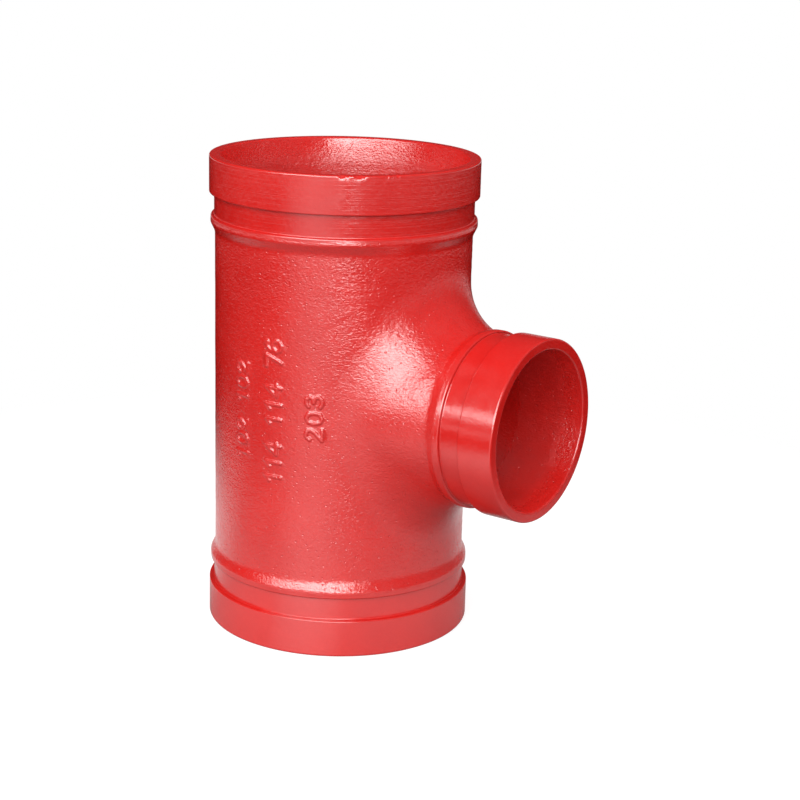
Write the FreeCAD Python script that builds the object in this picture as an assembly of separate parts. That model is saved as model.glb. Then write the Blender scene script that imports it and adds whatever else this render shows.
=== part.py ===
import FreeCAD, Part
import math
import os
from collections import namedtuple
from FreeCAD import Vector

# A grooved reducing tee for sprinkler pipe: one ductile-iron casting with three turned ends.
# Millimetres. The run stands along Z and the branch leaves along +X. Their axes cross at the origin.

# Run, the straight way through
RUN_DIAMETER = 114.3
RUN_CENTRE_TO_END = 101.6
RUN_END_WALL = 6.15
RUN_GROOVE_DEPTH = 2.11
RUN_BODY_SETBACK = 2.55
RUN_BODY_WALL = 5.3

# Branch, the smaller way out of the side
BRANCH_DIAMETER = 76.1
BRANCH_CENTRE_TO_END = 101.6
BRANCH_END_WALL = 5.7
BRANCH_GROOVE_DEPTH = 1.92
BRANCH_BODY_SETBACK = 2.1
BRANCH_FLARE_ANGLE = 10.0

# Grooved ends, alike on all three ways
SEAT_LENGTH = 15.88
GROOVE_WIDTH = 9.53
BEAD_SETBACK = 0.65
BEAD_CREST_LENGTH = 3.0
BEAD_FLANK_LENGTH = 3.8

# Edges of the ends
FACE_EDGE_BEVEL = 0.9
BORE_EDGE_BEVEL = 1.5
BEAD_FOOT_ROUNDING = 5.0

# The run's bore is wider at its ends, and narrows over a short cone behind each bead
END_BORE_LENGTH = 33.0
BORE_CONE_LENGTH = 9.0

# Where branch and run grow into each other, outside and in the bore
OUTER_BLEND_RADIUS = 27.0
INNER_BLEND_RADIUS = 16.0

# Where the branch's blank starts, inside the run
BLANK_START = 10.0
# How far a cutting body runs past the face that it opens
OVERRUN = 5.0
# Points closer than this count as one
NEAR = 0.01

Way = namedtuple("Way", "radius reach wall groove_depth body_setback")
RUN = Way(RUN_DIAMETER / 2, RUN_CENTRE_TO_END, RUN_END_WALL, RUN_GROOVE_DEPTH, RUN_BODY_SETBACK)
BRANCH = Way(BRANCH_DIAMETER / 2, BRANCH_CENTRE_TO_END, BRANCH_END_WALL, BRANCH_GROOVE_DEPTH,
             BRANCH_BODY_SETBACK)

RUN_AXIS = Vector(0, 0, 1)
BRANCH_AXIS = Vector(1, 0, 0)
ORIGIN = Vector(0, 0, 0)


def body_radius(way):
    return way.radius - way.body_setback


def bore_radius(way):
    return way.radius - way.wall


def run_narrow_radius():
    """Radius of the run's bore between its two cones."""
    return body_radius(RUN) - RUN_BODY_WALL


def groove_start(way):
    """Distance from the crossing of the axes to the groove wall on the bead's side."""
    return way.reach - SEAT_LENGTH - GROOVE_WIDTH


def bead_foot(way):
    """Distance from the crossing of the axes to where the bead runs out into the body."""
    return groove_start(way) - BEAD_CREST_LENGTH - BEAD_FLANK_LENGTH


def end_outline(way):
    """Corners of a grooved end as (radius, distance, rounding), from its face back to the body."""
    floor = way.radius - way.groove_depth
    crest = way.radius - BEAD_SETBACK
    seat_end = way.reach - SEAT_LENGTH
    return [
        (way.radius - FACE_EDGE_BEVEL, way.reach, 0),
        (way.radius, way.reach - FACE_EDGE_BEVEL, 0),
        (way.radius, seat_end, 0),
        (floor, seat_end, 0),
        (floor, groove_start(way), 0),
        (crest, groove_start(way), 0),
        (crest, groove_start(way) - BEAD_CREST_LENGTH, 0),
        (body_radius(way), bead_foot(way), BEAD_FOOT_ROUNDING),
    ]


def neck_radius(distance):
    """Outside radius of the branch as cast: it widens evenly from the bead's foot towards the run."""
    slope = math.tan(math.radians(BRANCH_FLARE_ANGLE))
    return body_radius(BRANCH) + (bead_foot(BRANCH) - distance) * slope


def mouth_outline(way):
    """Corners of a bore's mouth, from past the end face to its bevelled edge."""
    mouth = bore_radius(way) + BORE_EDGE_BEVEL
    return [
        (mouth, way.reach + OVERRUN, 0),
        (mouth, way.reach, 0),
        (bore_radius(way), way.reach - BORE_EDGE_BEVEL, 0),
    ]


def run_bore_outline():
    """Corners of the run's bore, from past one end to where it has its body width."""
    cone_start = RUN.reach - END_BORE_LENGTH
    return mouth_outline(RUN) + [
        (bore_radius(RUN), cone_start, 0),
        (run_narrow_radius(), cone_start - BORE_CONE_LENGTH, 0),
    ]


def both_ends(corners):
    """The corners of one end, then the same corners mirrored for the other end."""
    mirrored = [(radius, -distance, rounding) for radius, distance, rounding in reversed(corners)]
    return corners + mirrored


def rounded_wire(corners, across, along):
    """A closed wire through the corners, with an arc at each corner that has a rounding."""
    points = [across * radius + along * distance for radius, distance, _ in corners]
    edges = []
    starts = []
    ends = []
    for i, point in enumerate(points):
        rounding = corners[i][2]
        back = (points[i - 1] - point).normalize()
        ahead = (points[(i + 1) % len(points)] - point).normalize()
        if rounding == 0:
            starts.append(point)
            ends.append(point)
            continue
        half_angle = back.getAngle(ahead) / 2
        tangent = rounding / math.tan(half_angle)
        start = point + back * tangent
        end = point + ahead * tangent
        inward = (back + ahead).normalize()
        middle = point + inward * (rounding / math.sin(half_angle) - rounding)
        edges.append(Part.Arc(start, middle, end).toShape())
        starts.append(start)
        ends.append(end)
    for i, end in enumerate(ends):
        next_start = starts[(i + 1) % len(points)]
        if end.distanceToPoint(next_start) > NEAR:
            edges.append(Part.makeLine(end, next_start))
    return Part.Wire(Part.__sortEdges__(edges))


def turned(corners, across, along):
    """The solid that the outline sweeps out in a full turn about its axis."""
    face = Part.Face(rounded_wire(corners, across, along))
    return face.revolve(ORIGIN, along, 360)


def close_on_axis(corners):
    """The outline with its two ends joined along the axis."""
    return [(0, corners[0][1], 0)] + corners + [(0, corners[-1][1], 0)]


def run_outside():
    return turned(close_on_axis(both_ends(end_outline(RUN))), -BRANCH_AXIS, RUN_AXIS)


def branch_blank():
    """The branch before its end is turned, one long cone from inside the run out to the end face."""
    wide = neck_radius(BLANK_START)
    narrow = neck_radius(BRANCH.reach)
    return Part.makeCone(wide, narrow, BRANCH.reach - BLANK_START, BRANCH_AXIS * BLANK_START, BRANCH_AXIS)


def branch_end():
    """Seat ring, groove and bead of the branch, with a plain stub that reaches back into its blank."""
    stub = (body_radius(BRANCH), bead_foot(BRANCH) - BEAD_FOOT_ROUNDING, 0)
    return turned(close_on_axis(end_outline(BRANCH) + [stub]), RUN_AXIS, BRANCH_AXIS)


def branch_offcut():
    """All that the blank has beyond the bead, where the turned end takes its place."""
    length = BRANCH.reach + OVERRUN - groove_start(BRANCH)
    start = BRANCH_AXIS * groove_start(BRANCH)
    return Part.makeCylinder(BRANCH.radius + OUTER_BLEND_RADIUS, length, start, BRANCH_AXIS)


def run_bore():
    return turned(close_on_axis(both_ends(run_bore_outline())), -BRANCH_AXIS, RUN_AXIS)


def branch_bore():
    inner_end = (bore_radius(BRANCH), 0, 0)
    return turned(close_on_axis(mouth_outline(BRANCH) + [inner_end]), RUN_AXIS, BRANCH_AXIS)


def is_crossing(edge, run_radius, branch_radius_at):
    """Whether the edge lies on the run's and the branch's surface at once."""
    for share in (0.2, 0.5, 0.8):
        parameter = edge.FirstParameter + share * (edge.LastParameter - edge.FirstParameter)
        point = edge.valueAt(parameter)
        if abs(math.hypot(point.x, point.y) - run_radius) > NEAR:
            return False
        if abs(math.hypot(point.y, point.z) - branch_radius_at(point.x)) > NEAR:
            return False
    return True


def blended(run, branch, run_radius, branch_radius_at, blend_radius):
    """Run and branch fused, with a rounded transition along the curve where they cross."""
    joined = run.fuse(branch).removeSplitter()
    crossing = [edge for edge in joined.Edges if is_crossing(edge, run_radius, branch_radius_at)]
    return joined.makeFillet(blend_radius, crossing)


def outside():
    """The casting without its bore. The blend ends before the run's beads, however large it is asked."""
    room = bead_foot(RUN) - BEAD_FOOT_ROUNDING - neck_radius(body_radius(RUN))
    blend = min(OUTER_BLEND_RADIUS, room)
    cast = blended(run_outside(), branch_blank(), body_radius(RUN), neck_radius, blend)
    return cast.cut(branch_offcut()).fuse(branch_end()).removeSplitter()


def bore():
    def branch_radius(distance):
        return bore_radius(BRANCH)
    return blended(run_bore(), branch_bore(), run_narrow_radius(), branch_radius, INNER_BLEND_RADIUS)


def tee_body():
    return outside().cut(bore()).removeSplitter()


def export(shape, name):
    solid = shape.Solids[0]
    solid.exportStep(os.path.join("parts", name + ".step"))
    print(name, "solids", len(shape.Solids), "valid", solid.isValid(), "faces", len(solid.Faces),
          "volume", round(solid.Volume / 1000, 1), "cm3")


os.makedirs("parts", exist_ok=True)
export(tee_body(), "tee_body")
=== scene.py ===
import math
from collections import namedtuple

import bmesh
import bpy
import numpy as np
from mathutils import Matrix, Vector, noise


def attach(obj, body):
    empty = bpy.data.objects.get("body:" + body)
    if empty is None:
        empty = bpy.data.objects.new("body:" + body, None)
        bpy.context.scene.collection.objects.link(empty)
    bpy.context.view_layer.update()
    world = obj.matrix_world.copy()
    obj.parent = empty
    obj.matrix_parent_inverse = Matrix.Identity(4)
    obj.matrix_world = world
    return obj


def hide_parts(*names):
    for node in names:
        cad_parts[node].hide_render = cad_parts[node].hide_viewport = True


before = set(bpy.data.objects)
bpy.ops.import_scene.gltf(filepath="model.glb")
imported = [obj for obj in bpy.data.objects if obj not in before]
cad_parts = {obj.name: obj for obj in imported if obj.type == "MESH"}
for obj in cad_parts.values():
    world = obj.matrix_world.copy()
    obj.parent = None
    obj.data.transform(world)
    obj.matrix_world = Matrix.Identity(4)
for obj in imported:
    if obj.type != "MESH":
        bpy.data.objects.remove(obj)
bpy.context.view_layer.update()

MM = 0.001

# The tee in millimetres. The run stands along Z, the branch leaves along +X. Each way has its distance
# from the crossing of the axes to its face, its radii, and how much its mouth widens.
Way = namedtuple("Way", "reach radius floor crest body bore mouth_flare")
RUN = Way(reach=101.6, radius=57.15, floor=55.04, crest=56.5, body=54.6, bore=51.0, mouth_flare=1.6)
BRANCH = Way(reach=101.6, radius=38.05, floor=36.13, crest=37.4, body=35.95, bore=32.35, mouth_flare=1.3)
SEAT = 15.88
GROOVE = 9.53
BEAD_CREST = 3.0
BEAD_FLANK = 3.8
MOUTH_DEPTH = 11.0

# The run's bore in its middle, and the heights between which it widens
NARROW_BORE = 49.3
BORE_CONE = (59.6, 68.6)

# The branch's taper as cast, the radii of the blends, and how much larger the outer blend gets beside
# the branch, where the cast skin runs over softly
TAPER = math.radians(10)
OUTER_BLEND = 25.83
INNER_BLEND = 16.0
BLEND_FULLER = 0.6

# The neck joins the turned bead softly, and ends just before the groove's wall
NECK_SOFTNESS = 0.5
NECK_CLEARANCE = 0.4

# Finish of the skin, kept at each vertex: 0 is turned, 1 is cast, and the bores are rougher still
TURNED = 0
LIP = 0.4
CAST = 1
BORE_ROUGHNESS = 2.3

# How the outlines are divided: longest steps, largest turn and fewest parts of an arc, and the close
# rows beside an arc as a share of its radius and at most
RUN_STEP = 2.6
BRANCH_STEP = 2.0
BORE_STEP = 2.0
ARC_TURN = math.radians(18)
ARC_PARTS = 3
HOLD_SHARE = 0.35
HOLD_LIMIT = 0.3

# How the run is divided round and, in the patch where the branch leaves, up and down
COLUMNS = 192
PATCH_COLUMNS = 31
PATCH_ROWS = 33
RING_ROWS = 4
# How much closer the rows of the ring get towards the blend
RING_CROWDING = 0.35

# The columns over the blend: parts of their arc, step along the neck, how far they run on, and the
# halvings that find their place
COLUMN_PARTS = 120
NECK_STEP = 0.5
NECK_OVERRUN = 14
HALVINGS = 60


def unit(vector):
    return vector / np.linalg.norm(vector)


def swung(first, last, turn, share):
    """The arm at a share of the turn from the first arm to the last."""
    return (first * math.sin((1 - share) * turn) + last * math.sin(share * turn)) / math.sin(turn)


def divided(points, step):
    """The points (place, cast), with more between those that are farther apart than the step."""
    result = [points[0]]
    for (start, start_cast), (end, end_cast) in zip(points, points[1:]):
        parts = max(1, math.ceil(np.linalg.norm(end - start) / step))
        for k in range(1, parts + 1):
            share = k / parts
            result.append((start + (end - start) * share, start_cast + (end_cast - start_cast) * share))
    return result


def rounded_outline(corners, step):
    """Lines (radius, distance, cast) through the corners (radius, distance, rounding, cast)."""
    flat = [np.array(corner[:2]) for corner in corners]
    found = [(flat[0], corners[0][3])]
    for i in range(1, len(corners) - 1):
        point = flat[i]
        rounding, cast = corners[i][2:]
        back = unit(flat[i - 1] - point)
        ahead = unit(flat[i + 1] - point)
        half = math.acos(np.clip(back @ ahead, -1, 1)) / 2
        reach = rounding / math.tan(half)
        centre = point + unit(back + ahead) * (rounding / math.sin(half))
        first = point + back * reach - centre
        last = point + ahead * reach - centre
        turn = math.pi - 2 * half
        parts = max(ARC_PARTS, math.ceil(turn / ARC_TURN))
        hold = min(HOLD_SHARE * rounding, HOLD_LIMIT)
        found.append((point + back * (reach + hold), cast))
        for k in range(parts + 1):
            found.append((centre + swung(first, last, turn, k / parts), cast))
        found.append((point + ahead * (reach + hold), cast))
    found.append((flat[-1], corners[-1][3]))
    return [(radius, distance, cast) for (radius, distance), cast in divided(found, step)]


def groove_wall(way):
    """Distance of the groove's wall on the bead's side."""
    return way.reach - SEAT - GROOVE


def bead_foot(way):
    return groove_wall(way) - BEAD_CREST - BEAD_FLANK


def end_corners(way, start):
    """Corners of a grooved end, from its body at the start over bead, groove, seat and face into the
    bore. The roundings are those of edges under thick paint."""
    wall = groove_wall(way)
    seat_wall = way.reach - SEAT
    return [
        (way.body, start, 0, CAST),
        (way.body, bead_foot(way), 5.0, CAST),
        (way.crest, wall - BEAD_CREST, 2.0, CAST),
        (way.crest, wall, 0.7, TURNED),
        (way.floor, wall, 0.35, TURNED),
        (way.floor, seat_wall, 0.4, TURNED),
        (way.radius, seat_wall, 0.45, TURNED),
        (way.radius, way.reach, 0.7, TURNED),
        (way.bore + way.mouth_flare, way.reach, 0.8, LIP),
        (way.bore, way.reach - MOUTH_DEPTH, 0, BORE_ROUGHNESS),
    ]


def run_body_radius(z):
    return RUN.body


def run_bore_radius(z):
    low, high = BORE_CONE
    share = min(max((z - low) / (high - low), 0), 1)
    share = share * share * (3 - 2 * share)
    return NARROW_BORE + (RUN.bore - NARROW_BORE) * share


# Where run and branch cross, outside and in the bores: the run's radius, the branch's radius at the
# run's axis and its taper, the blend's radius and rows and how much fuller it gets, half the height of
# the patch, the run's radius there, and where the rows of the neck end
Crossing = namedtuple("Crossing", "run neck taper ball fuller rows patch_reach run_radius neck_end")
OUTSIDE = Crossing(
    run=RUN.body, neck=BRANCH.body + bead_foot(BRANCH) * math.tan(TAPER), taper=TAPER, ball=OUTER_BLEND,
    fuller=BLEND_FULLER, rows=24, patch_reach=66.0, run_radius=run_body_radius, neck_end=66.0)
BORES = Crossing(
    run=NARROW_BORE, neck=BRANCH.bore, taper=0, ball=INNER_BLEND,
    fuller=0, rows=10, patch_reach=53.0, run_radius=run_bore_radius, neck_end=70)


class Skin:
    """Vertices with their finish, and faces, which are turned over while inward is set."""

    def __init__(self):
        self.points = []
        self.cast = []
        self.lathe = []
        self.faces = []
        self.inward = False

    def row(self, points, cast, lathe):
        """Adds a row of points and returns their numbers."""
        start = len(self.points)
        self.points.extend(points)
        self.cast.extend([cast] * len(points))
        self.lathe.extend([lathe] * len(points))
        return list(range(start, start + len(points)))

    def face(self, a, b, c, d):
        self.faces.append((a, d, c, b) if self.inward else (a, b, c, d))

    def band(self, low, high):
        """Faces between two closed rows."""
        for i in range(len(low)):
            j = (i + 1) % len(low)
            self.face(low[i], low[j], high[j], high[i])


def run_point(radius, angle, z):
    return (radius * math.cos(angle), radius * math.sin(angle), z)


def ways_along(lines):
    """How far each line is from the first along the outline, which the turning marks follow."""
    ways = [0.0]
    for (radius, place, _), (next_radius, next_place, _) in zip(lines, lines[1:]):
        ways.append(ways[-1] + math.hypot(next_radius - radius, next_place - place))
    return ways


def ball_contacts(psi, crossing, ball):
    """A ball rolls along the crossing of run and branch: its centre, and where it touches each."""
    run, neck, taper = crossing.run, crossing.neck, crossing.taper
    low, high = 0.0, run + ball
    for _ in range(HALVINGS):
        x = (low + high) / 2
        distance = neck - x * math.tan(taper) + ball / math.cos(taper)
        if math.hypot(x, distance * math.cos(psi)) > run + ball:
            high = x
        else:
            low = x
    centre = np.array([x, distance * math.cos(psi), distance * math.sin(psi)])
    on_run = centre * np.array([run / (run + ball), run / (run + ball), 1])
    normal = np.array([math.sin(taper), math.cos(taper) * math.cos(psi), math.cos(taper) * math.sin(psi)])
    return centre, on_run, centre - ball * normal


def blend_column(psi, crossing):
    """Dense points from the contact on the run over the blend and along the neck to past its end."""
    ball = crossing.ball * (1 + crossing.fuller * math.cos(psi) ** 2)
    centre, on_run, on_branch = ball_contacts(psi, crossing, ball)
    first = (on_run - centre) / ball
    last = (on_branch - centre) / ball
    turn = math.acos(np.clip(first @ last, -1, 1))
    points = [centre + swung(first, last, turn, k / COLUMN_PARTS) * ball for k in range(COLUMN_PARTS + 1)]
    x = on_branch[0]
    while x < crossing.neck_end + NECK_OVERRUN:
        x += NECK_STEP
        radius = crossing.neck - x * math.tan(crossing.taper)
        points.append(np.array([x, radius * math.cos(psi), radius * math.sin(psi)]))
    return np.array(points)


def resample(points, end, count):
    """count + 1 points at even steps along the column, the last at x = end."""
    steps = np.linalg.norm(np.diff(points, axis=0), axis=1)
    lengths = np.concatenate([[0], np.cumsum(steps)])
    total = np.interp(end, points[:, 0], lengths)
    wanted = np.linspace(0, total, count + 1)
    return np.stack([np.interp(wanted, lengths, points[:, k]) for k in range(3)], 1)


def patch_border(crossing):
    """The loop round the opening in the run's grid as (column, row, arc, z), anticlockwise seen from
    outside, from the middle of the side towards +Y."""
    def place(column, row):
        arc = crossing.run_radius(0) * 2 * math.pi * column / COLUMNS
        return column, row, arc, crossing.patch_reach * row / PATCH_ROWS
    loop = [place(PATCH_COLUMNS, row) for row in range(0, PATCH_ROWS)]
    loop += [place(column, PATCH_ROWS) for column in range(PATCH_COLUMNS, -PATCH_COLUMNS, -1)]
    loop += [place(-PATCH_COLUMNS, row) for row in range(PATCH_ROWS, -PATCH_ROWS, -1)]
    loop += [place(column, -PATCH_ROWS) for column in range(-PATCH_COLUMNS, PATCH_COLUMNS)]
    loop += [place(PATCH_COLUMNS, row) for row in range(-PATCH_ROWS, 0)]
    return loop


# The angle round the branch of each column over the blend
ANGLES = [math.atan2(z, arc) for _, _, arc, z in patch_border(OUTSIDE)]


def in_patch(row, column):
    """Whether a face of the run's grid is left out for the branch. Rows count from the patch's lower edge."""
    if column >= COLUMNS / 2:
        column -= COLUMNS
    return 0 <= row < 2 * PATCH_ROWS and -PATCH_COLUMNS <= column < PATCH_COLUMNS


def run_grid(skin, outline, crossing):
    """The run with an opening for the branch: the outline of its lower end, the patch's rows and the
    outline of its upper end. Returns the rows, and the number of the patch's first."""
    lower = [(radius, -z, cast) for radius, z, cast in reversed(outline)]
    heights = [crossing.patch_reach * row / PATCH_ROWS for row in range(-PATCH_ROWS, PATCH_ROWS + 1)]
    middle = [(crossing.run_radius(abs(z)), z, CAST) for z in heights]
    lines = lower + middle + outline
    turns = [2 * math.pi * i / COLUMNS for i in range(COLUMNS)]
    rows = [skin.row([run_point(radius, turn, z) for turn in turns], cast, way)
            for (radius, z, cast), way in zip(lines, ways_along(lines))]
    for r, (low, high) in enumerate(zip(rows, rows[1:])):
        for c in range(COLUMNS):
            if not in_patch(r - len(lower), c):
                d = (c + 1) % COLUMNS
                skin.face(low[c], low[d], high[d], high[c])
    return rows, len(lower)


def add_patch(skin, rows, first, crossing, columns):
    """Rows from the opening in the run's grid to the foot of the blend. Returns the last of them."""
    border = patch_border(crossing)
    last = [rows[first + PATCH_ROWS + row][column % COLUMNS] for column, row, _, _ in border]
    run = crossing.run
    for layer in range(1, RING_ROWS + 1):
        share = layer / RING_ROWS
        share = share * (1 + RING_CROWDING - RING_CROWDING * share)
        ring = []
        for (_, _, arc, z), column in zip(border, columns):
            x, y, foot = column[0]
            height = z + (foot - z) * share
            along = arc + (run * math.atan2(y, x) - arc) * share
            ring.append(run_point(crossing.run_radius(abs(height)), along / run, height))
        row = skin.row(ring, CAST, 0)
        skin.band(last, row)
        last = row
    return last


def add_blend(skin, last, crossing, columns):
    """Rows over the blend and the neck. Returns the last of them."""
    strips = np.array([resample(column, crossing.neck_end, crossing.rows) for column in columns])
    for layer in range(1, crossing.rows + 1):
        row = skin.row([tuple(point) for point in strips[:, layer]], CAST, 0)
        skin.band(last, row)
        last = row
    return last


def soft_maximum(a, b, width):
    """The larger of a and b, rounded over where they are about equal."""
    gap = max(width - abs(a - b), 0) / width
    return max(a, b) + gap * gap * width / 4


def over_neck(radius, neck_radius, x):
    """The turned profile and the cast neck joined: the larger counts up to the groove's wall."""
    if x > groove_wall(BRANCH) - NECK_CLEARANCE:
        return radius
    return soft_maximum(radius, neck_radius, NECK_SOFTNESS)


def add_branch(skin, last, columns, lines, with_neck):
    """Rows round the branch, outside with the neck that the turned end stands in. Returns the last."""
    for (radius, x, cast), way in zip(lines, ways_along(lines)):
        ring = []
        for psi, column in zip(ANGLES, columns):
            around, across = psi, radius
            if with_neck and x < column[-1][0]:
                y = np.interp(x, column[:, 0], column[:, 1])
                z = np.interp(x, column[:, 0], column[:, 2])
                around = math.atan2(z, y)
                across = over_neck(radius, math.hypot(y, z), x)
            ring.append((x, across * math.cos(around), across * math.sin(around)))
        row = skin.row(ring, cast, way)
        skin.band(last, row)
        last = row
    return last


def add_ways(skin, crossing, run_lines, branch_lines, with_neck):
    """Run and branch of one crossing. Returns the rows at the lower, the upper and the branch's mouth."""
    columns = [blend_column(psi, crossing) for psi in ANGLES]
    rows, first = run_grid(skin, run_lines, crossing)
    foot = add_patch(skin, rows, first, crossing, columns)
    neck = add_blend(skin, foot, crossing, columns)
    return rows[0], rows[-1], add_branch(skin, neck, columns, branch_lines, with_neck)


def bore_places(start, way):
    """Places of a bore's rows, from the start to where its mouth begins to widen."""
    return np.arange(start + BORE_STEP, way.reach - MOUTH_DEPTH - BORE_STEP / 4, BORE_STEP)


def build_tee():
    """The closed skin of the tee: outside and bores, joined at the three mouths."""
    skin = Skin()
    run_lines = rounded_outline(end_corners(RUN, OUTSIDE.patch_reach), RUN_STEP)[1:]
    branch_lines = rounded_outline(end_corners(BRANCH, OUTSIDE.neck_end), BRANCH_STEP)[1:]
    lower, upper, branch = add_ways(skin, OUTSIDE, run_lines, branch_lines, True)
    run_bore = [(run_bore_radius(z), z, BORE_ROUGHNESS) for z in bore_places(BORES.patch_reach, RUN)]
    branch_bore = [(BRANCH.bore, x, BORE_ROUGHNESS) for x in bore_places(BORES.neck_end, BRANCH)]
    skin.inward = True
    lower_bore, upper_bore, branch_end = add_ways(skin, BORES, run_bore, branch_bore, False)
    skin.inward = False
    skin.band(upper, upper_bore)
    skin.band(lower_bore, lower)
    skin.band(branch, branch_end)
    return skin


def mesh_from(skin, name):
    mesh = bpy.data.meshes.new(name)
    mesh.from_pydata([tuple(c * MM for c in point) for point in skin.points], [], skin.faces)
    for label, values, scale in (("cast", skin.cast, 1.0), ("lathe", skin.lathe, MM)):
        attribute = mesh.attributes.new(label, "FLOAT", "POINT")
        attribute.data.foreach_set("value", np.array(values, dtype=np.float32) * scale)
    return mesh


# Plain digits as strokes in a cell one unit wide and one and a half high
DIGITS = {
    "0": [[(0.5, 1.5), (0.12, 1.28), (0, 0.75), (0.12, 0.22), (0.5, 0), (0.88, 0.22), (1, 0.75), (0.88, 1.28),
           (0.5, 1.5)]],
    "1": [[(0.15, 1.15), (0.55, 1.5), (0.55, 0)]],
    "2": [[(0.03, 1.15), (0.2, 1.42), (0.55, 1.5), (0.88, 1.36), (0.95, 1.05), (0.75, 0.7), (0, 0), (1, 0)]],
    "3": [[(0.03, 1.28), (0.3, 1.5), (0.7, 1.48), (0.95, 1.2), (0.8, 0.88), (0.42, 0.8)],
          [(0.42, 0.8), (0.88, 0.68), (1, 0.38), (0.78, 0.06), (0.35, 0), (0, 0.22)]],
    "4": [[(0.75, 0), (0.75, 1.5), (0, 0.45), (1, 0.45)]],
    "6": [[(0.88, 1.42), (0.5, 1.5), (0.14, 1.15), (0, 0.5), (0.2, 0.08), (0.55, 0), (0.9, 0.18), (0.97, 0.5),
           (0.75, 0.82), (0.4, 0.85), (0.05, 0.55)]],
    "7": [[(0, 1.5), (1, 1.5), (0.4, 0)]],
}

# Rows of numbers on the run: text, angle round the run in degrees, middle height, cell width, pitch
NUMBER_ROWS = (
    ("102 102", -101.5, 0.0, 4.3, 6.1),
    ("114 114 76", -83.5, 2.0, 4.7, 6.2),
    ("203", -64.6, 1.5, 4.5, 7.0),
)

# Relief of the numbers in millimetres
NUMBER_HEIGHT = 0.62
NUMBER_STROKE = 0.95
NUMBER_EDGE = 0.5

# The run's faces are divided up to this far from the strokes and from the box round a row. Vertices are
# lifted between these angles, up to this height and where they are this close to the run's wall.
NUMBER_ZONE = 2.0
NUMBER_MARGIN = 1.2
NUMBER_CUTS = 5
NUMBER_ANGLES = (-2.05, -1.0)
NUMBER_LIMIT = 45
WALL_NEARNESS = 0.2
# Faces deeper than this under the wall's outside stay as they are
WALL_DEPTH = 1.5


def number_strokes():
    """The strokes as segments (around, z, around, z) in millimetres, and the box round each row."""
    segments = []
    boxes = []
    for text, angle, middle, width, pitch in NUMBER_ROWS:
        around = RUN.body * math.radians(angle)
        height = 1.5 * width
        length = pitch * len(text)
        for place, digit in enumerate(text):
            if digit == " ":
                continue
            base = middle - length / 2 + pitch * (place + 0.5) - width / 2
            for stroke in DIGITS[digit]:
                for (ax, ay), (bx, by) in zip(stroke, stroke[1:]):
                    segments.append((around + height / 2 - ay * width, base + ax * width,
                                     around + height / 2 - by * width, base + bx * width))
        boxes.append((around - height / 2, around + height / 2, middle - length / 2, middle + length / 2))
    return np.array(segments), boxes


def distance_to(segments, around, z):
    a = segments[:, 0:2]
    b = segments[:, 2:4]
    point = np.array([around, z])
    along = b - a
    share = np.clip(((point - a) * along).sum(1) / (along ** 2).sum(1), 0, 1)
    return np.linalg.norm(a + along * share[:, None] - point, axis=1).min()


def in_a_box(boxes, around, z):
    margin = NUMBER_MARGIN
    return any(low - margin < around < high + margin and bottom - margin < z < top + margin
               for low, high, bottom, top in boxes)


def divide_faces(bm, chosen, cuts):
    edges = dict.fromkeys(edge for face in chosen for edge in face.edges)
    bmesh.ops.subdivide_edges(bm, edges=list(edges), cuts=cuts, use_grid_fill=True)


def raise_numbers(bm):
    """Divides the run's faces where the numbers stand and lifts the strokes."""
    segments, boxes = number_strokes()
    chosen = []
    for face in bm.faces:
        x, y, z = face.calc_center_median() / MM
        if math.hypot(x, y) < RUN.body - WALL_DEPTH or abs(z) > OUTSIDE.patch_reach:
            continue
        around = RUN.body * math.atan2(y, x)
        if in_a_box(boxes, around, z) and distance_to(segments, around, z) < NUMBER_ZONE:
            chosen.append(face)
    divide_faces(bm, chosen, NUMBER_CUTS)
    for vertex in bm.verts:
        x, y, z = vertex.co / MM
        turn = math.atan2(y, x)
        on_wall = abs(z) <= NUMBER_LIMIT and abs(math.hypot(x, y) - RUN.body) <= WALL_NEARNESS
        if not on_wall or not NUMBER_ANGLES[0] < turn < NUMBER_ANGLES[1]:
            continue
        gap = distance_to(segments, RUN.body * turn, z)
        share = min(max((NUMBER_STROKE / 2 + NUMBER_EDGE - gap) / NUMBER_EDGE, 0), 1)
        radius = RUN.body + NUMBER_HEIGHT * share * share * (3 - 2 * share)
        vertex.co = Vector(run_point(radius, turn, z)) * MM


# Small chips in the outer edge of the upper end: angle round the run in degrees, half length, depth
EDGE_CHIPS = (
    (-54.2, 1.2, 0.5),
    (-52.0, 0.5, 0.2),
    (-47.6, 1.6, 0.5),
    (-45.4, 0.5, 0.25),
    (-36.2, 0.4, 0.35),
    (-34.0, 0.3, 0.2),
    (-31.8, 0.7, 0.35),
)

# Width of the chips in millimetres, and how many widths from the edge they end
CHIP_WIDTH = 0.9
CHIP_REACH = 2

# The edge's faces are divided between these angles and up to this far from the edge
CHIP_ANGLES = (-58, -28)
CHIP_ZONE = 3
CHIP_CUTS = 4


def chip_edge(bm):
    """Divides the faces at the upper end's outer edge where the chips are, and presses them in."""
    chosen = []
    for face in bm.faces:
        x, y, z = face.calc_center_median() / MM
        near_edge = z > RUN.reach - CHIP_ZONE and math.hypot(x, y) > RUN.radius - CHIP_ZONE
        if near_edge and CHIP_ANGLES[0] < math.degrees(math.atan2(y, x)) < CHIP_ANGLES[1]:
            chosen.append(face)
    divide_faces(bm, chosen, CHIP_CUTS)
    for vertex in bm.verts:
        x, y, z = vertex.co / MM
        across = math.hypot(RUN.reach - z, RUN.radius - math.hypot(x, y)) / CHIP_WIDTH
        if across > CHIP_REACH:
            continue
        for angle, length, depth in EDGE_CHIPS:
            along = RUN.radius * (math.atan2(y, x) - math.radians(angle)) / length
            press = depth * math.exp(-along ** 4 - across ** 2)
            vertex.co.z -= press * MM
            vertex.co.xy *= 1 - press / RUN.radius


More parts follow.
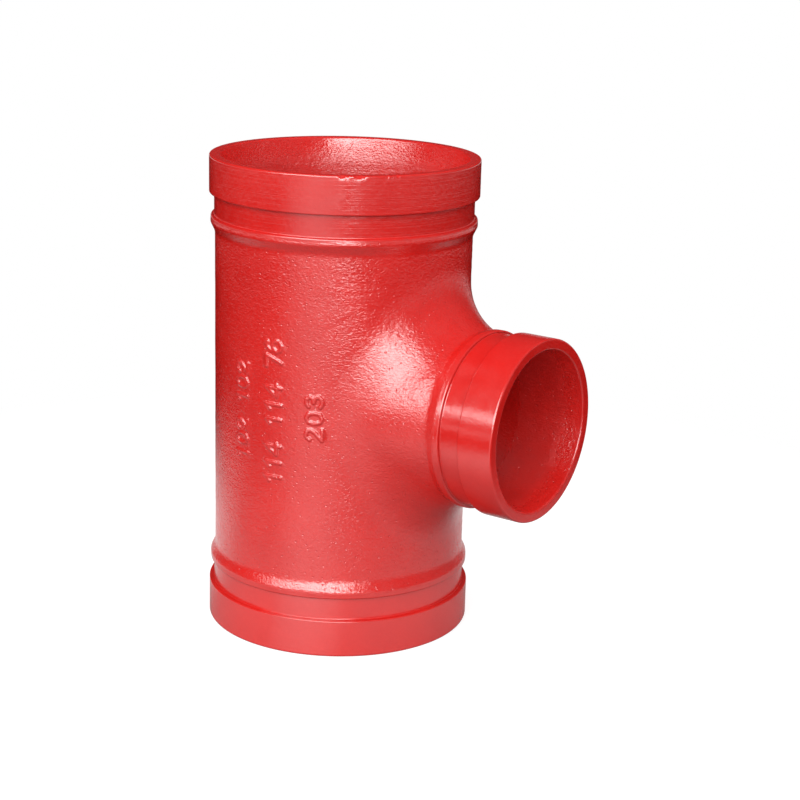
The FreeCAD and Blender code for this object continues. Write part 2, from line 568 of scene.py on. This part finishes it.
# Unevenness of the cast walls: noise per metre, its shift, and its height in millimetres. In the bores
# it is larger by their roughness, up to the limit. Where the finish is below the least, there is none.
UNEVENNESS = (
    (38, (0, 0, 0), 0.16),
    (115, (7, 3, 5), 0.07),
    (260, (1, 9, 4), 0.035),
)
UNEVEN_LIMIT = 1.5
LEAST_UNEVEN = 0.01


def uneven(mesh):
    """Makes the cast walls uneven, never beyond the end faces."""
    count = len(mesh.vertices)
    points = np.empty(count * 3)
    normals = np.empty(count * 3)
    cast = np.empty(count)
    mesh.vertices.foreach_get("co", points)
    mesh.vertex_normals.foreach_get("vector", normals)
    mesh.attributes["cast"].data.foreach_get("value", cast)
    points = points.reshape(-1, 3)
    normals = normals.reshape(-1, 3)
    for i in range(count):
        if cast[i] < LEAST_UNEVEN:
            continue
        place = Vector(points[i])
        lift = sum(height * noise.noise(place * scale + Vector(shift))
                   for scale, shift, height in UNEVENNESS)
        points[i] += normals[i] * lift * min(cast[i], UNEVEN_LIMIT) * MM
    points[:, 2] = np.clip(points[:, 2], -RUN.reach * MM, RUN.reach * MM)
    points[:, 0] = np.minimum(points[:, 0], BRANCH.reach * MM)
    mesh.vertices.foreach_set("co", points.ravel())


def build_body():
    mesh = mesh_from(build_tee(), "tee")
    bm = bmesh.new()
    bm.from_mesh(mesh)
    raise_numbers(bm)
    chip_edge(bm)
    bm.to_mesh(mesh)
    mesh.update()
    uneven(mesh)
    bm.clear()
    bm.from_mesh(mesh)
    loose = [vertex for vertex in bm.verts if not vertex.link_faces]
    bmesh.ops.delete(bm, geom=loose, context="VERTS")
    bmesh.ops.recalc_face_normals(bm, faces=bm.faces)
    bm.to_mesh(mesh)
    bm.free()
    for polygon in mesh.polygons:
        polygon.use_smooth = True
    mesh.update()
    body = bpy.data.objects.new("tee", mesh)
    bpy.context.scene.collection.objects.link(body)
    return body


class Nodes:
    """Shorthand for adding and linking a material's nodes."""

    def __init__(self, owner):
        owner.use_nodes = True
        self.tree = owner.node_tree
        self.tree.nodes.clear()

    def add(self, kind, **values):
        node = self.tree.nodes.new(kind)
        for name, value in values.items():
            setattr(node, name, value)
        return node

    def link(self, output, socket):
        self.tree.links.new(output, socket)

    def math(self, operation, a, b):
        node = self.add("ShaderNodeMath", operation=operation)
        for socket, value in zip(node.inputs, (a, b)):
            if isinstance(value, (int, float)):
                socket.default_value = value
            else:
                self.link(value, socket)
        return node.outputs[0]

    def plus(self, a, b):
        return self.math("ADD", a, b)

    def minus(self, a, b):
        return self.math("SUBTRACT", a, b)

    def times(self, a, b):
        return self.math("MULTIPLY", a, b)

    def larger(self, a, b):
        return self.math("MAXIMUM", a, b)

    def noise(self, vector, scale, detail=2.0, roughness=0.5, distortion=0.0):
        node = self.add("ShaderNodeTexNoise")
        self.link(vector, node.inputs["Vector"])
        node.inputs["Scale"].default_value = scale
        node.inputs["Detail"].default_value = detail
        node.inputs["Roughness"].default_value = roughness
        node.inputs["Distortion"].default_value = distortion
        return node.outputs["Fac"]

    def span(self, value, low, high, out_low=0.0, out_high=1.0, smooth=True):
        node = self.add("ShaderNodeMapRange", interpolation_type="SMOOTHSTEP" if smooth else "LINEAR")
        self.link(value, node.inputs["Value"])
        node.inputs["From Min"].default_value = low
        node.inputs["From Max"].default_value = high
        node.inputs["To Min"].default_value = out_low
        node.inputs["To Max"].default_value = out_high
        return node.outputs["Result"]

    def towards_side(self, vector, azimuth):
        """How far a vector reaches towards an azimuth of the room."""
        node = self.add("ShaderNodeVectorMath", operation="DOT_PRODUCT")
        self.link(vector, node.inputs[0])
        node.inputs[1].default_value = direction(azimuth, 0)
        return node.outputs["Value"]

    def background_share(self, mirrored):
        """One for rays from the camera and through glass, and for mirrored rays as far as asked."""
        path = self.add("ShaderNodeLightPath")
        straight = self.larger(path.outputs["Is Camera Ray"], path.outputs["Is Transmission Ray"])
        return self.larger(straight, self.times(path.outputs["Is Glossy Ray"], mirrored))


# The paint where it is thin and where it is thick
THIN_PAINT = (0.57, 0.0095, 0.0075, 1)
THICK_PAINT = (0.66, 0.014, 0.0105, 1)
PAINT_IOR = 1.74
PAINT_ROUGHNESS = (0.17, 0.24)
BORE_DULLNESS = 0.13

# The relief under the paint: its full height in metres, and the shares of pebbles, swells, pits, turning
# marks and the paint's own waves in it
RELIEF = 0.0003
PEBBLES = 0.68
SWELL = 0.45
PITS = -0.4
TURNING_MARKS = 0.085
PAINT_WAVES = 0.2

# The skin of the bores is at most this much coarser, and the marks stray this far, in metres
SKIN_LIMIT = 1.1
MARK_WOBBLE = 0.0006


def paint_colour(nodes, place):
    drift = nodes.times(nodes.noise(place, scale=42, detail=3, roughness=0.55), 0.7)
    grain = nodes.times(nodes.noise(place, scale=900), 0.3)
    colour = nodes.add("ShaderNodeValToRGB")
    nodes.link(nodes.plus(drift, grain), colour.inputs["Fac"])
    thin, thick = colour.color_ramp.elements
    thin.position = 0.3
    thin.color = THIN_PAINT
    thick.position = 0.7
    thick.color = THICK_PAINT
    return colour.outputs["Color"]


def paint_roughness(nodes, place, cast):
    patches = nodes.noise(place, scale=160, detail=3, roughness=0.6)
    paint = nodes.span(patches, 0.3, 0.7, *PAINT_ROUGHNESS, smooth=False)
    return nodes.plus(paint, nodes.span(cast, CAST, BORE_ROUGHNESS, 0.0, BORE_DULLNESS, smooth=False))


def sand_cast_skin(nodes, place, cast):
    """Wrinkles and pebbles left by the sand mould, and small pits, on the cast surfaces."""
    flat = nodes.add("ShaderNodeVectorMath", operation="MULTIPLY")
    nodes.link(place, flat.inputs[0])
    flat.inputs[1].default_value = (1.0, 1.0, 1.6)
    pebbles = nodes.times(nodes.noise(flat.outputs[0], scale=850, roughness=0.6, distortion=0.3), PEBBLES)
    swell = nodes.times(nodes.noise(place, scale=380, detail=1), SWELL)
    cells = nodes.add("ShaderNodeTexVoronoi", feature="F1")
    nodes.link(place, cells.inputs["Vector"])
    cells.inputs["Scale"].default_value = 380
    pits = nodes.span(cells.outputs["Distance"], 0.07, 0.18, PITS, 0.0)
    skin = nodes.plus(nodes.plus(pebbles, swell), pits)
    return nodes.times(skin, nodes.math("MINIMUM", cast, SKIN_LIMIT))


def turned_skin(nodes, place, cast, lathe):
    """Turning marks along the lathe's way, and the waves of thick paint, on the turned surfaces."""
    lines = nodes.add("ShaderNodeTexNoise", noise_dimensions="1D")
    wobble = nodes.times(nodes.noise(place, scale=25, detail=1), MARK_WOBBLE)
    nodes.link(nodes.plus(lathe, wobble), lines.inputs["W"])
    lines.inputs["Scale"].default_value = 2600
    lines.inputs["Detail"].default_value = 1.5
    turned = nodes.minus(1.0, cast)
    marks = nodes.times(nodes.times(lines.outputs["Fac"], TURNING_MARKS), turned)
    waves = nodes.times(nodes.times(nodes.noise(place, scale=480), PAINT_WAVES), turned)
    return nodes.plus(marks, waves)


def paint_material():
    material = bpy.data.materials.new("red_paint")
    nodes = Nodes(material)
    output = nodes.add("ShaderNodeOutputMaterial")
    shader = nodes.add("ShaderNodeBsdfPrincipled")
    nodes.link(shader.outputs[0], output.inputs["Surface"])
    place = nodes.add("ShaderNodeTexCoord").outputs["Object"]
    cast = nodes.add("ShaderNodeAttribute", attribute_name="cast").outputs["Fac"]
    lathe = nodes.add("ShaderNodeAttribute", attribute_name="lathe").outputs["Fac"]
    nodes.link(paint_colour(nodes, place), shader.inputs["Base Color"])
    nodes.link(paint_roughness(nodes, place, cast), shader.inputs["Roughness"])
    shader.inputs["IOR"].default_value = PAINT_IOR
    shader.inputs["Specular IOR Level"].default_value = 1.0
    bump = nodes.add("ShaderNodeBump")
    bump.inputs["Strength"].default_value = 1.0
    bump.inputs["Distance"].default_value = RELIEF
    height = nodes.plus(sand_cast_skin(nodes, place, cast), turned_skin(nodes, place, cast, lathe))
    nodes.link(height, bump.inputs["Height"])
    nodes.link(bump.outputs["Normal"], shader.inputs["Normal"])
    return material


# The camera, fitted to the photograph: turn, tilt and roll in degrees, distance and aim in millimetres
CAMERA_AZIMUTH = 35.058
CAMERA_ELEVATION = 15.791
CAMERA_ROLL = -1.534
CAMERA_DISTANCE = 817.483
CAMERA_AIM = (25.421, 5.376)
CAMERA_LENS = 84.64

# The softboxes: name, the directions of their two ends as azimuth and elevation, width in metres, power
SOFTBOXES = (
    ("softbox", (-16, 36), (29, 23), 0.78, 10.3),
    ("softbox_low", (28, 21), (49, 9), 0.45, 4.5),
    ("softbox_left", (-32, 19), (-8, 15), 0.2, 1.2),
)
SOFTBOX_DISTANCE = 1.3

# Brightness of the room near the horizon and overhead, between these heights of a unit vector, its
# factors on the dark and on the bright side, and the share of it that gloss mirrors
ROOM_LOW = 0.6
ROOM_HIGH = 0.85
ROOM_HEIGHTS = (0.1, 0.7)
ROOM_BRIGHT_SIDE = 120
ROOM_SIDES = (1.25, 2.15)
ROOM_MIRRORED = 0.025

# How much of the white beyond the floor gloss mirrors, up to this height of a unit vector
HORIZON_MIRRORED = 0.6
HORIZON_HEIGHT = 0.05

# The floor, with distances in metres: half its length, and how rough its paper is
FLOOR_HALF = 8.0
FLOOR_ROUGHNESS = 0.22

# The floor near the object: its paleness, the paleness painted into it for mirrored rays only, a painted
# reflection, on most sides and on the pale side, and its glow for the camera
FLOOR_PALENESS = 0.38
FLOOR_MIRRORED = 0.33
FLOOR_PALE_SIDE = 0.7
FLOOR_GLOW = 0.7
PALE_SIDE = 225

# Between which distances the near floor ends, its painted pale side in mirrored rays begins, its glow grows,
# and gloss begins to mirror the glow
NEAR_FLOOR = (0.16, 0.38)
PALE_SIDE_BEGINS = (0.0, 0.08)
GLOW_GROWS = (0.14, 0.34)
GLOW_MIRRORED = (1.5, 3.0)

# How flat a mirrored ray falls where the painted pale veil of the floor shows in full, and its share in steep
# rays
VEIL_FLATNESS = (0.2, 0.5)
VEIL_STEEP = 0.4

# The lane of painted sheen in the floor's colour for mirrored rays, below the softbox: its side, where it
# spreads from in metres, its paleness in mirrored rays, its breadth as a cosine, and how flat the rays fall
# that show it
SHEEN_SIDE = 11
SHEEN_SHIFT = (-0.017, 0.025, 0)
PAINTED_SHEEN = 0.37
SHEEN_BREADTH = 0.83
SHEEN_FLATNESS = (0.4, 0.7)

# Between which distances the lane narrows and by how much, how it gains there, and where it fades to what
SHEEN_NARROWS = (0.2, 0.7)
SHEEN_NARROWING = 0.05
SHEEN_GAIN = 1.4
SHEEN_FADES = (0.8, 1.5)
SHEEN_FAR = 0.2


def direction(azimuth, elevation):
    """Unit vector towards an azimuth from -Y towards +X and an elevation, both in degrees."""
    a, e = math.radians(azimuth), math.radians(elevation)
    return Vector((math.sin(a) * math.cos(e), -math.cos(a) * math.cos(e), math.sin(e)))


def add_camera():
    back = direction(CAMERA_AZIMUTH, CAMERA_ELEVATION)
    forward = -back
    right = forward.cross(Vector((0, 0, 1))).normalized()
    down = forward.cross(right)
    roll = math.radians(CAMERA_ROLL)
    turned_right = right * math.cos(roll) + down * math.sin(roll)
    turned_down = down * math.cos(roll) - right * math.sin(roll)
    aim = turned_right * CAMERA_AIM[0] + turned_down * CAMERA_AIM[1]
    place = (aim + back * CAMERA_DISTANCE) * MM
    data = bpy.data.cameras.new("camera")
    data.sensor_width = 36
    data.lens = CAMERA_LENS
    data.clip_start = 0.01
    data.clip_end = 50
    camera = bpy.data.objects.new("camera", data)
    turn = Matrix((turned_right, -turned_down, back)).transposed().to_4x4()
    camera.matrix_world = Matrix.Translation(place) @ turn
    bpy.context.scene.collection.objects.link(camera)
    bpy.context.scene.camera = camera


def add_softbox(name, start, end, width, power):
    """A long lamp whose ends stand at two directions, each as azimuth and elevation."""
    first, last = direction(*start), direction(*end)
    away = (first + last).normalized()
    along = (first - last).normalized()
    data = bpy.data.lights.new(name, "AREA")
    data.shape = "RECTANGLE"
    data.size = 2 * SOFTBOX_DISTANCE * math.tan(first.angle(last) / 2)
    data.size_y = width
    data.energy = power
    lamp = bpy.data.objects.new(name, data)
    turn = Matrix((along, away.cross(along), away)).transposed().to_4x4()
    lamp.matrix_world = Matrix.Translation(away * SOFTBOX_DISTANCE) @ turn
    bpy.context.scene.collection.objects.link(lamp)


def painted_floor_sheen(nodes, position, reach):
    """The painted sheen in the floor's colour: a lane which starts behind the object and narrows as it runs
    towards the softbox.
    """
    level = nodes.add("ShaderNodeVectorMath", operation="MULTIPLY_ADD")
    nodes.link(position, level.inputs[0])
    level.inputs[1].default_value = (1, 1, 0)
    level.inputs[2].default_value = SHEEN_SHIFT
    aside = nodes.add("ShaderNodeVectorMath", operation="NORMALIZE")
    nodes.link(level.outputs[0], aside.inputs[0])
    narrowing = nodes.span(reach, *SHEEN_NARROWS, 0.0, SHEEN_NARROWING)
    lane = nodes.minus(nodes.towards_side(aside.outputs[0], SHEEN_SIDE), narrowing)
    painted_sheen = nodes.span(lane, SHEEN_BREADTH, 1.0, 0.0, PAINTED_SHEEN, smooth=False)
    painted_sheen = nodes.times(painted_sheen, nodes.span(reach, *SHEEN_NARROWS, 1.0, SHEEN_GAIN))
    return nodes.times(painted_sheen, nodes.span(reach, *SHEEN_FADES, 1.0, SHEEN_FAR))


def painted_floor_reflection(nodes, position, reach, near):
    """Painted reflection: paleness painted into the floor's colour for mirrored rays only, as a veil near the
    object and a lane of painted sheen. Both parts of it are weaker where the rays fall steeply.
    """
    painted_sheen = painted_floor_sheen(nodes, position, reach)
    side = nodes.towards_side(position, PALE_SIDE)
    painted_veil = nodes.times(near, nodes.span(side, *PALE_SIDE_BEGINS, FLOOR_MIRRORED, FLOOR_PALE_SIDE))
    flatness = nodes.add("ShaderNodeLayerWeight").outputs["Facing"]
    painted_veil = nodes.times(painted_veil, nodes.span(flatness, *VEIL_FLATNESS, VEIL_STEEP, 1.0))
    return nodes.plus(painted_veil, nodes.times(painted_sheen, nodes.span(flatness, *SHEEN_FLATNESS)))


def floor_material():
    material = bpy.data.materials.new("floor")
    nodes = Nodes(material)
    output = nodes.add("ShaderNodeOutputMaterial")
    paper = nodes.add("ShaderNodeBsdfPrincipled")
    paper.inputs["Roughness"].default_value = FLOOR_ROUGHNESS
    paper.inputs["Specular IOR Level"].default_value = 0.0
    position = nodes.add("ShaderNodeNewGeometry").outputs["Position"]
    length = nodes.add("ShaderNodeVectorMath", operation="LENGTH")
    nodes.link(position, length.inputs[0])
    reach = length.outputs["Value"]
    glossy = nodes.add("ShaderNodeLightPath").outputs["Is Glossy Ray"]
    near = nodes.span(reach, *NEAR_FLOOR, 1.0, 0.0)
    direct = nodes.times(nodes.times(nodes.minus(1.0, glossy), near), FLOOR_PALENESS)
    # The floor's colour in mirrored rays is a painted reflection: painted glare of a glossy floor under the
    # softbox
    mirrored = nodes.times(painted_floor_reflection(nodes, position, reach, near), glossy)
    paleness = nodes.plus(direct, mirrored)
    shade = nodes.add("ShaderNodeCombineColor")
    for channel in shade.inputs:
        nodes.link(paleness, channel)
    nodes.link(shade.outputs[0], paper.inputs["Base Color"])
    glow = nodes.add("ShaderNodeEmission")
    seen = nodes.background_share(nodes.span(reach, *GLOW_MIRRORED))
    nodes.link(nodes.times(seen, nodes.span(reach, *GLOW_GROWS, FLOOR_GLOW, 1.0)), glow.inputs["Strength"])
    both = nodes.add("ShaderNodeAddShader")
    nodes.link(paper.outputs[0], both.inputs[0])
    nodes.link(glow.outputs[0], both.inputs[1])
    nodes.link(both.outputs[0], output.inputs["Surface"])
    return material


def add_floor():
    mesh = bpy.data.meshes.new("floor")
    half, low = FLOOR_HALF, -RUN.reach * MM
    mesh.from_pydata([(-half, -half, low), (half, -half, low), (half, half, low), (-half, half, low)], [],
                     [(0, 1, 2, 3)])
    mesh.materials.append(floor_material())
    floor = bpy.data.objects.new("floor", mesh)
    bpy.context.scene.collection.objects.link(floor)


def add_world():
    """A dim room that the camera sees as white. Mirrored rays see the white only near the horizon."""
    world = bpy.data.worlds.new("studio")
    bpy.context.scene.world = world
    nodes = Nodes(world)
    output = nodes.add("ShaderNodeOutputWorld")
    background = nodes.add("ShaderNodeBackground")
    nodes.link(background.outputs[0], output.inputs["Surface"])
    towards = nodes.add("ShaderNodeTexCoord").outputs["Generated"]
    split = nodes.add("ShaderNodeSeparateXYZ")
    nodes.link(towards, split.inputs[0])
    height = split.outputs["Z"]
    seen = nodes.background_share(nodes.span(height, 0.0, HORIZON_HEIGHT, HORIZON_MIRRORED, 0.0))
    room = nodes.span(height, *ROOM_HEIGHTS, ROOM_LOW, ROOM_HIGH)
    side = nodes.towards_side(towards, ROOM_BRIGHT_SIDE)
    room = nodes.times(room, nodes.span(side, -1.0, 1.0, *ROOM_SIDES, smooth=False))
    glossy = nodes.add("ShaderNodeLightPath").outputs["Is Glossy Ray"]
    room = nodes.times(room, nodes.span(glossy, 0.0, 1.0, 1.0, ROOM_MIRRORED, smooth=False))
    nodes.link(nodes.larger(seen, room), background.inputs["Strength"])


tee = build_body()
tee.data.materials.append(paint_material())
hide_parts("tee_body")
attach(tee, "root")

add_floor()
add_world()
add_camera()
for softbox in SOFTBOXES:
    add_softbox(*softbox)

scene = bpy.context.scene
scene.view_settings.view_transform = "Standard"
